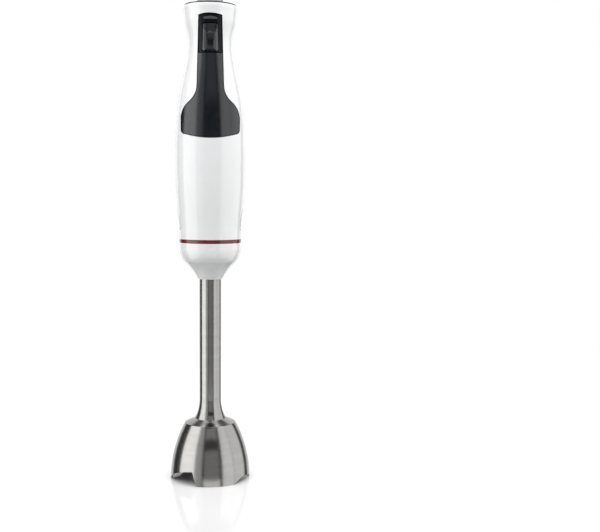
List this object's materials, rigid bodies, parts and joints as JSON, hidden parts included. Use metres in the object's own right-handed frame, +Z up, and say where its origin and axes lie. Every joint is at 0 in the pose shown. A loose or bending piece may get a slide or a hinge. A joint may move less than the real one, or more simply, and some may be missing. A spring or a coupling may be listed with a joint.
{
  "type": "immersion blender",
  "caption": "Hand-held immersion blender: white motor handle with dark grip panel and trigger, red ring, steel shaft and flared bell with a blade inside.",
  "frame": {"origin": "centre of the bell's rim circle, on the surface the blender stands on", "axes": "+Z up along the drive axis towards the cable gland; the grip panel and trigger face -Y; +X to the right seen from the front"},
  "size_m": [0.0654, 0.0654, 0.3976],
  "materials": {
    "white_shell": "gloss white moulding",
    "soft_panel": "soft-touch anthracite",
    "black_gloss": "gloss black moulding",
    "black_plastic": "matt black moulding",
    "grey_plastic": "satin grey moulding",
    "inner_plastic": "matt light grey moulding",
    "red_ring": "gloss crimson",
    "steel": "satin stainless steel",
    "bright_steel": "polished steel",
    "zinc_steel": "zinc-plated steel",
    "lamination": "stacked electrical steel",
    "copper": "enamelled copper wire",
    "bronze": "sintered bronze",
    "rubber": "matt rubber",
    "carbon": "pressed carbon",
    "board_green": "glass-epoxy laminate",
    "film_blue": "film capacitor case",
    "aluminium": "extruded"
  },
  "bodies": {
    "handle": {"housing_front": "white_shell", "housing_rear": "white_shell", "grip_panel": "soft_panel", "button_bezel": "black_gloss", "top_plate": "black_plastic", "cable_gland": "grey_plastic", "gland_nut": "black_plastic", "housing_screws": "zinc_steel", "socket_ring": "black_plastic", "latch_guide": "inner_plastic", "motor_lower_bracket": "inner_plastic", "motor_upper_bracket": "inner_plastic", "stator_core": "lamination", "field_coils": "copper", "lower_bearing": "bronze", "upper_bearing": "bronze", "damper_lower": "rubber", "damper_upper": "rubber", "brush_holders": "bronze", "carbon_brushes": "carbon", "brush_springs": "zinc_steel", "control_board": "board_green", "speed_switch": "black_plastic", "suppression_capacitor": "film_blue", "heat_sink": "aluminium", "trigger_pin": "zinc_steel", "trigger_spring": "zinc_steel", "lock_spring": "zinc_steel", "release_spring_left": "zinc_steel", "release_spring_right": "zinc_steel"},
    "rotor": {"rotor_shaft": "bright_steel", "armature_core": "lamination", "armature_winding": "copper", "commutator": "copper", "cooling_fan": "black_plastic", "drive_coupler": "black_plastic"},
    "speed_trigger": {"speed_trigger": "black_gloss"},
    "safety_lock": {"safety_lock": "grey_plastic"},
    "release_left": {"release_button_left": "white_shell", "latch_slide_left": "zinc_steel"},
    "release_right": {"release_button_right": "white_shell", "latch_slide_right": "zinc_steel"},
    "foot": {"accent_ring": "red_ring", "foot_collar": "white_shell", "coupling_cup": "inner_plastic", "shaft_tube": "steel", "bell": "steel", "upper_bush": "bronze", "lower_bush": "bronze", "hub_carrier": "black_plastic", "lip_seal": "rubber"},
    "blade_drive": {"drive_shaft": "bright_steel", "driven_coupling": "black_plastic", "blade": "bright_steel", "blade_nut": "bright_steel", "blade_spacer": "inner_plastic"}
  },
  "joints": [
    {"name": "rotor_spin", "type": "hinge", "parent": "handle", "child": "rotor", "pos_m": [0, 0, 0.26], "axis": [0, 0, 1], "continuous": true},
    {"name": "foot_release", "type": "slide", "parent": "handle", "child": "foot", "axis": [0, 0, -1], "range_m": [0, 0.045]},
    {"name": "blade_spin", "type": "hinge", "parent": "foot", "child": "blade_drive", "pos_m": [0, 0, 0.05], "axis": [0, 0, 1], "continuous": true},
    {"name": "trigger_press", "type": "hinge", "parent": "handle", "child": "speed_trigger", "pos_m": [0, -0.01265, 0.3512], "axis": [-1, 0, 0], "range_deg": [0, 7], "stiffness_Nm_per_rad": 0.25, "springref_deg": -20.05, "deforming": ["trigger_spring"]},
    {"name": "lock_press", "type": "slide", "parent": "handle", "child": "safety_lock", "axis": [0, 1, 0], "range_m": [0, 0.0015], "stiffness_N_per_m": 400, "springref_m": -0.003, "deforming": ["lock_spring"]},
    {"name": "release_left_press", "type": "slide", "parent": "handle", "child": "release_left", "axis": [1, 0, 0], "range_m": [0, 0.002], "stiffness_N_per_m": 900, "springref_m": -0.003, "deforming": ["release_spring_left"]},
    {"name": "release_right_press", "type": "slide", "parent": "handle", "child": "release_right", "axis": [-1, 0, 0], "range_m": [0, 0.002], "stiffness_N_per_m": 900, "springref_m": -0.003, "deforming": ["release_spring_right"]}
  ],
  "couplings": [
    {"joint": "blade_spin", "follows": "rotor_spin", "ratio": 1}
  ]
}
